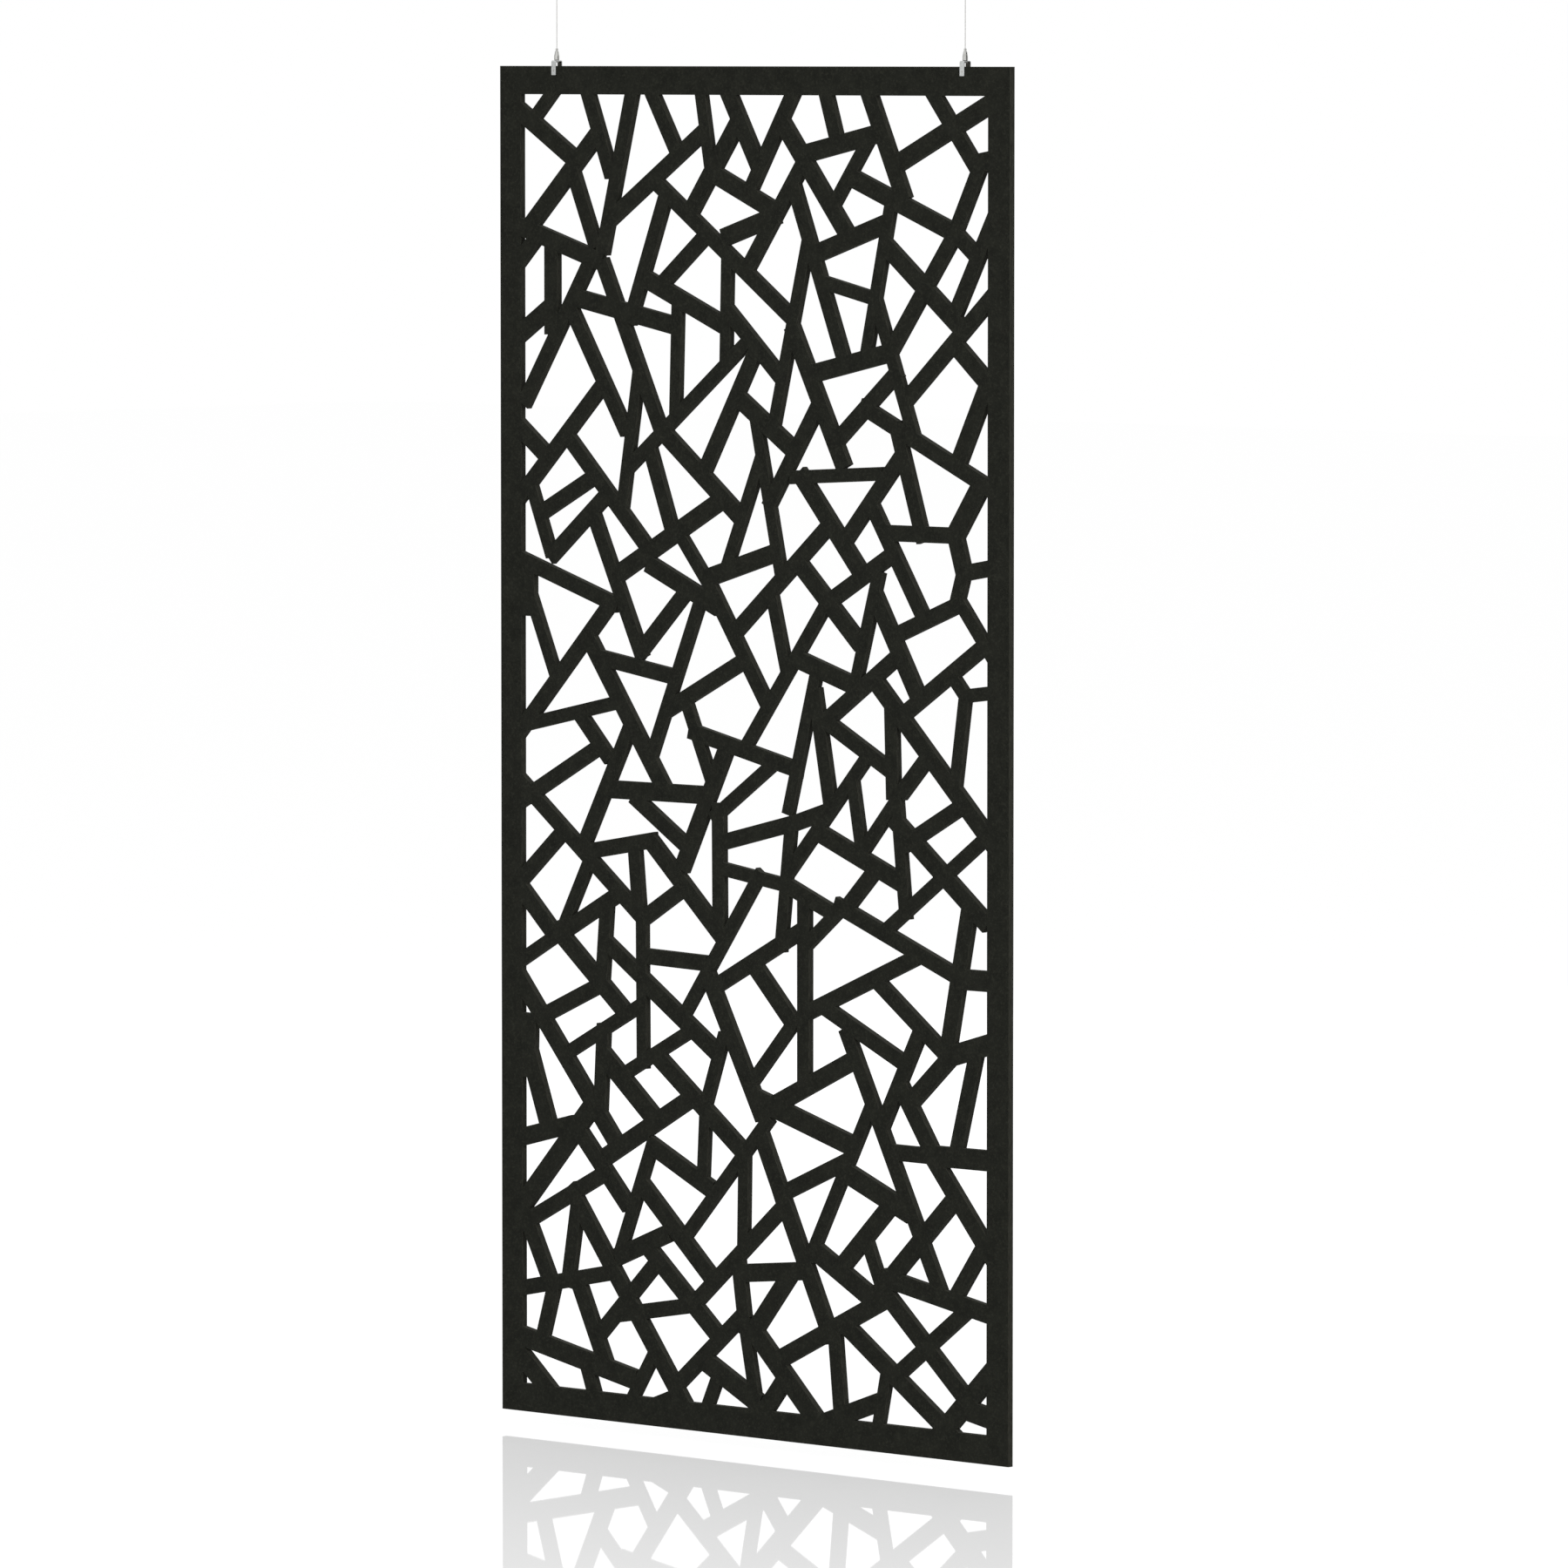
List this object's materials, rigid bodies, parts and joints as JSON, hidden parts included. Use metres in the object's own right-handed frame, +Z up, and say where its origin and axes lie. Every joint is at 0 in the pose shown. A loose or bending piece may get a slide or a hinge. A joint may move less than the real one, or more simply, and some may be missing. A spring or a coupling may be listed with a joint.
{
  "type": "hanging room divider panel",
  "caption": "Tall felt panel cut through with an irregular lattice of straight sticks, hung from the ceiling on thin steel cables held by clips and push-to-release grippers.",
  "frame": {"origin": "on the ceiling plane, midway between the two ceiling fittings' screw holes", "axes": "+X along the panel to the right as seen from the front, +Y to the back, +Z up"},
  "size_m": [1.2, 0.022, 2.55],
  "materials": {
    "charcoal_felt": "pressed felt, charcoal mottle",
    "satin_nickel": "satin nickel plate",
    "plain_steel": "plain steel",
    "wire_rope": "stranded steel wire"
  },
  "bodies": {
    "ceiling_fittings": {"left_ceiling_cap": "satin_nickel", "left_ceiling_base": "satin_nickel", "right_ceiling_cap": "satin_nickel", "right_ceiling_base": "satin_nickel"},
    "cables": {"left_cable": "wire_rope", "left_end_ball": "plain_steel", "right_cable": "wire_rope", "right_end_ball": "plain_steel"},
    "panel": {"felt_panel": "charcoal_felt", "left_clip": "satin_nickel", "left_front_plate": "plain_steel", "left_rear_plate": "plain_steel", "left_clamp_screw": "plain_steel", "left_gripper_body": "satin_nickel", "left_washer": "plain_steel", "left_hollow_bolt": "plain_steel", "left_spring": "plain_steel", "right_clip": "satin_nickel", "right_front_plate": "plain_steel", "right_rear_plate": "plain_steel", "right_clamp_screw": "plain_steel", "right_gripper_body": "satin_nickel", "right_washer": "plain_steel", "right_hollow_bolt": "plain_steel", "right_spring": "plain_steel"},
    "left_plunger": {"left_plunger": "satin_nickel", "left_lock_balls": "plain_steel"},
    "right_plunger": {"right_plunger": "satin_nickel", "right_lock_balls": "plain_steel"}
  },
  "joints": [
    {"name": "panel_swing", "type": "hinge", "parent": "ceiling_fittings", "child": "cables", "pos_m": [0, 0, -0.02054], "axis": [1, 0, 0], "range_deg": [-10, 10]},
    {"name": "height_adjustment", "type": "slide", "parent": "cables", "child": "panel", "axis": [0, 0, 1], "range_m": [-0.006, 0.006]},
    {"name": "left_plunger_press", "type": "slide", "parent": "panel", "child": "left_plunger", "axis": [0, 0, -1], "range_m": [0, 0.0015], "stiffness_N_per_m": 400, "springref_m": -0.001, "deforming": ["left_spring"]},
    {"name": "right_plunger_press", "type": "slide", "parent": "panel", "child": "right_plunger", "axis": [0, 0, -1], "range_m": [0, 0.0015], "stiffness_N_per_m": 400, "springref_m": -0.001, "deforming": ["right_spring"]}
  ]
}
